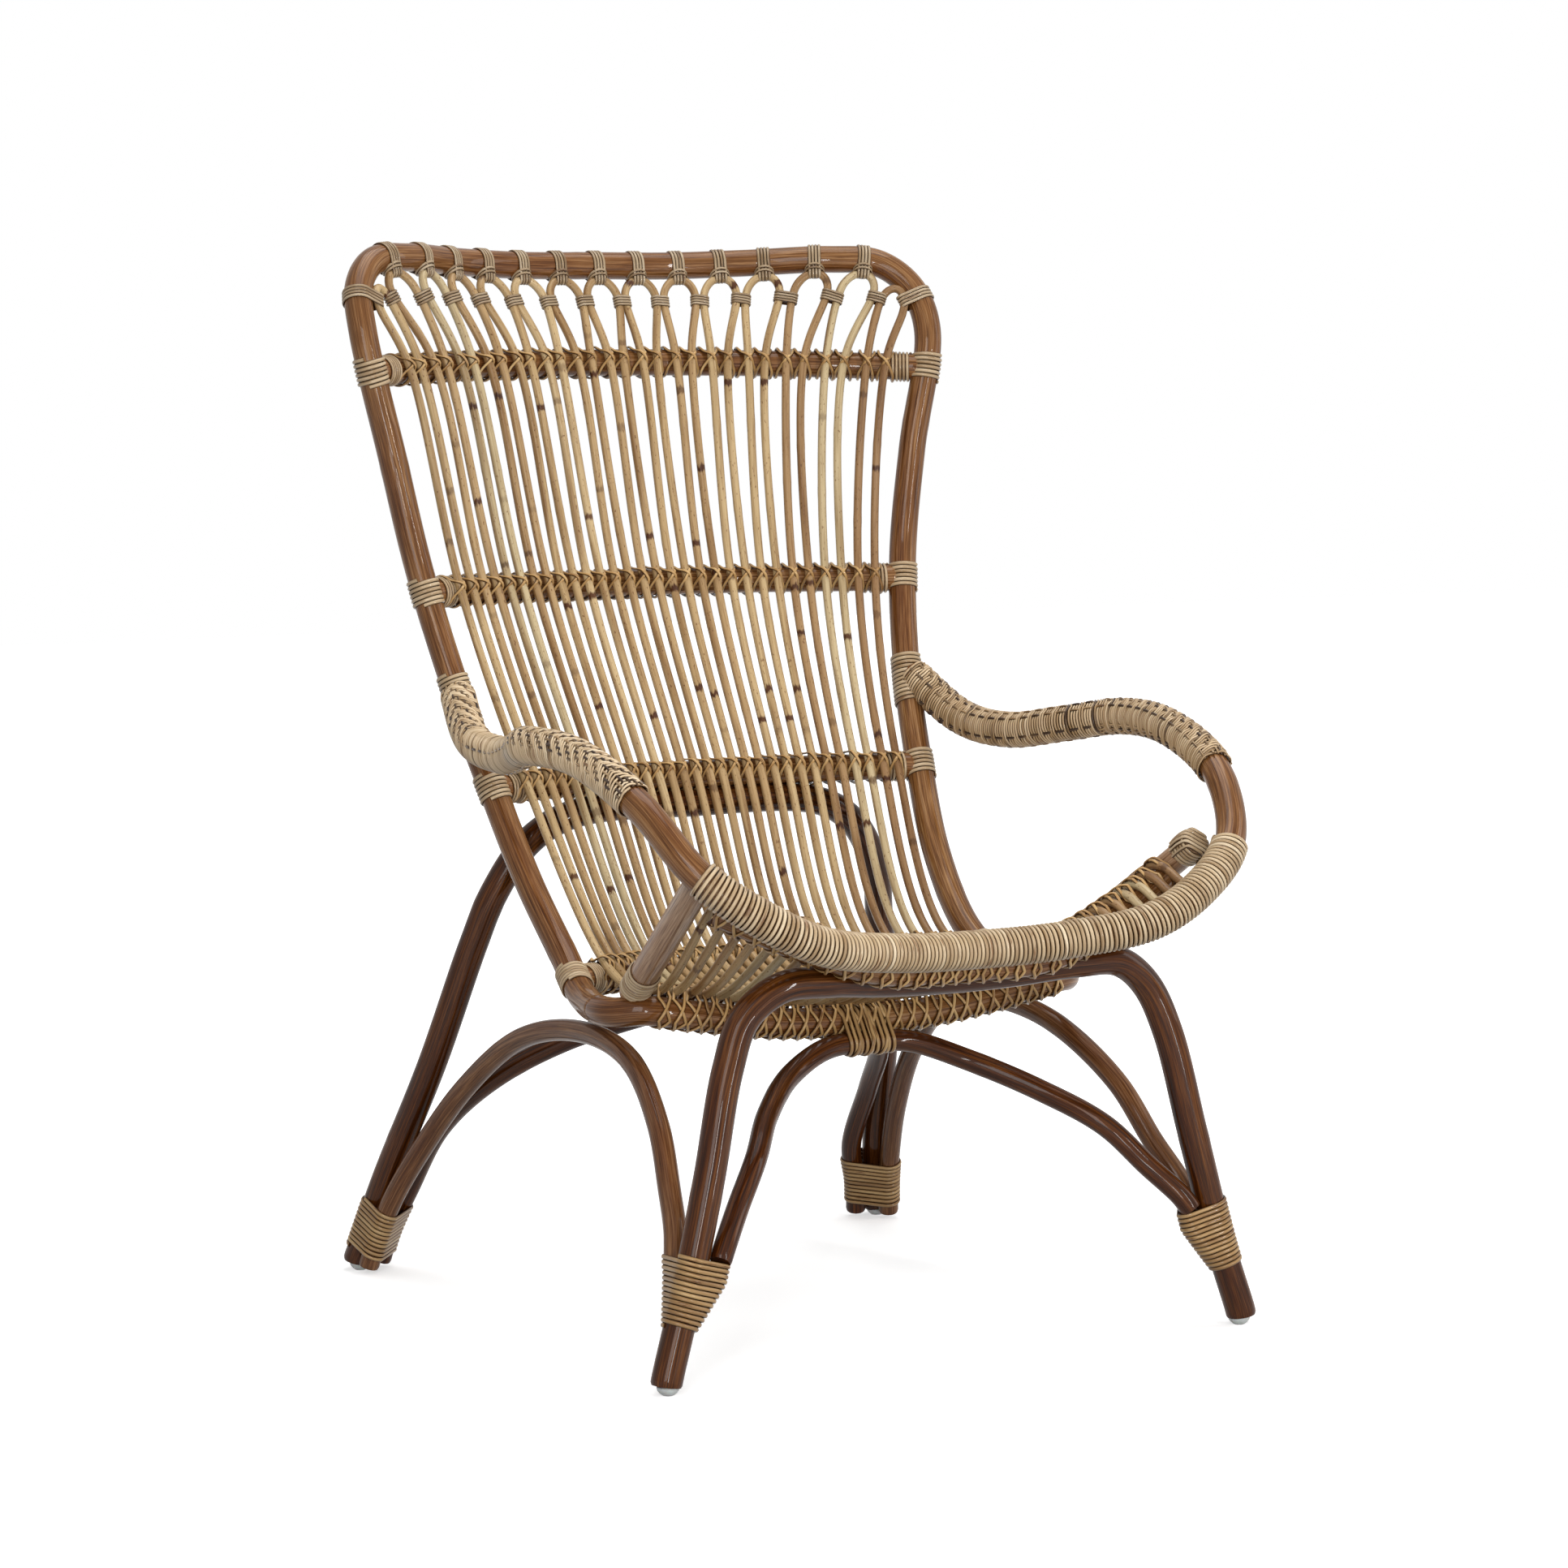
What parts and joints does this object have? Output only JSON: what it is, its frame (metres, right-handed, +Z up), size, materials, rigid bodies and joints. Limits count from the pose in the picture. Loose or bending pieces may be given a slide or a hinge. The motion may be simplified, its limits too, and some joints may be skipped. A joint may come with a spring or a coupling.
{
  "type": "rattan lounge armchair",
  "caption": "High-backed lounge armchair of bent rattan poles with a back and seat of looped hairpin rods, sweeping wrapped arms and bowed leg braces.",
  "frame": {"origin": "on the floor, under the middle of the chair's bounding box", "axes": "+Z up, -Y the way the sitter faces, +X to the left hand of someone seated"},
  "size_m": [0.6896, 0.7986, 1.0269],
  "materials": {
    "stained_pole": "gloss lacquer over brown stain",
    "pale_rod": "satin lacquer",
    "golden_cane": "gloss lacquer",
    "pale_weave": "satin lacquer",
    "clear_plastic": "satin"
  },
  "bodies": {
    "root": {"back_frame": "stained_pole", "lower_seat_hoop": "stained_pole", "crossbar_top": "stained_pole", "bar_binding_top_right": "golden_cane", "bar_binding_top_left": "golden_cane", "crossbar_middle": "stained_pole", "bar_binding_middle_right": "golden_cane", "bar_binding_middle_left": "golden_cane", "crossbar_lower": "stained_pole", "bar_binding_lower_right": "golden_cane", "bar_binding_lower_left": "golden_cane", "crossbar_seat": "stained_pole", "bar_binding_seat_right": "golden_cane", "bar_binding_seat_left": "golden_cane", "arm_hoop": "stained_pole", "arm_binding_right": "golden_cane", "arm_binding_left": "golden_cane", "arm_weave_right": "pale_weave", "arm_weave_left": "pale_weave", "front_wrap": "golden_cane", "front_rim_rail": "stained_pole", "seat_strut_right": "stained_pole", "seat_strut_left": "stained_pole", "strut_binding_right": "golden_cane", "strut_binding_left": "golden_cane", "front_leg_arch": "stained_pole", "rear_leg_arch": "stained_pole", "side_arch_right": "stained_pole", "side_arch_left": "stained_pole", "front_arch": "stained_pole", "rear_arch": "stained_pole", "arch_lashing": "golden_cane", "foot_wrap_front_right": "golden_cane", "foot_wrap_front_left": "golden_cane", "foot_wrap_rear_right": "golden_cane", "foot_wrap_rear_left": "golden_cane", "glide_front_right": "clear_plastic", "glide_front_left": "clear_plastic", "glide_rear_right": "clear_plastic", "glide_rear_left": "clear_plastic", "hairpin_01": "pale_rod", "hairpin_02": "pale_rod", "hairpin_03": "pale_rod", "hairpin_04": "pale_rod", "hairpin_05": "pale_rod", "hairpin_06": "pale_rod", "hairpin_07": "pale_rod", "hairpin_08": "pale_rod", "hairpin_09": "pale_rod", "hairpin_10": "pale_rod", "hairpin_11": "pale_rod", "hairpin_12": "pale_rod", "hairpin_13": "pale_rod", "hairpin_14": "pale_rod", "hairpin_15": "pale_rod"}
  },
  "joints": []
}
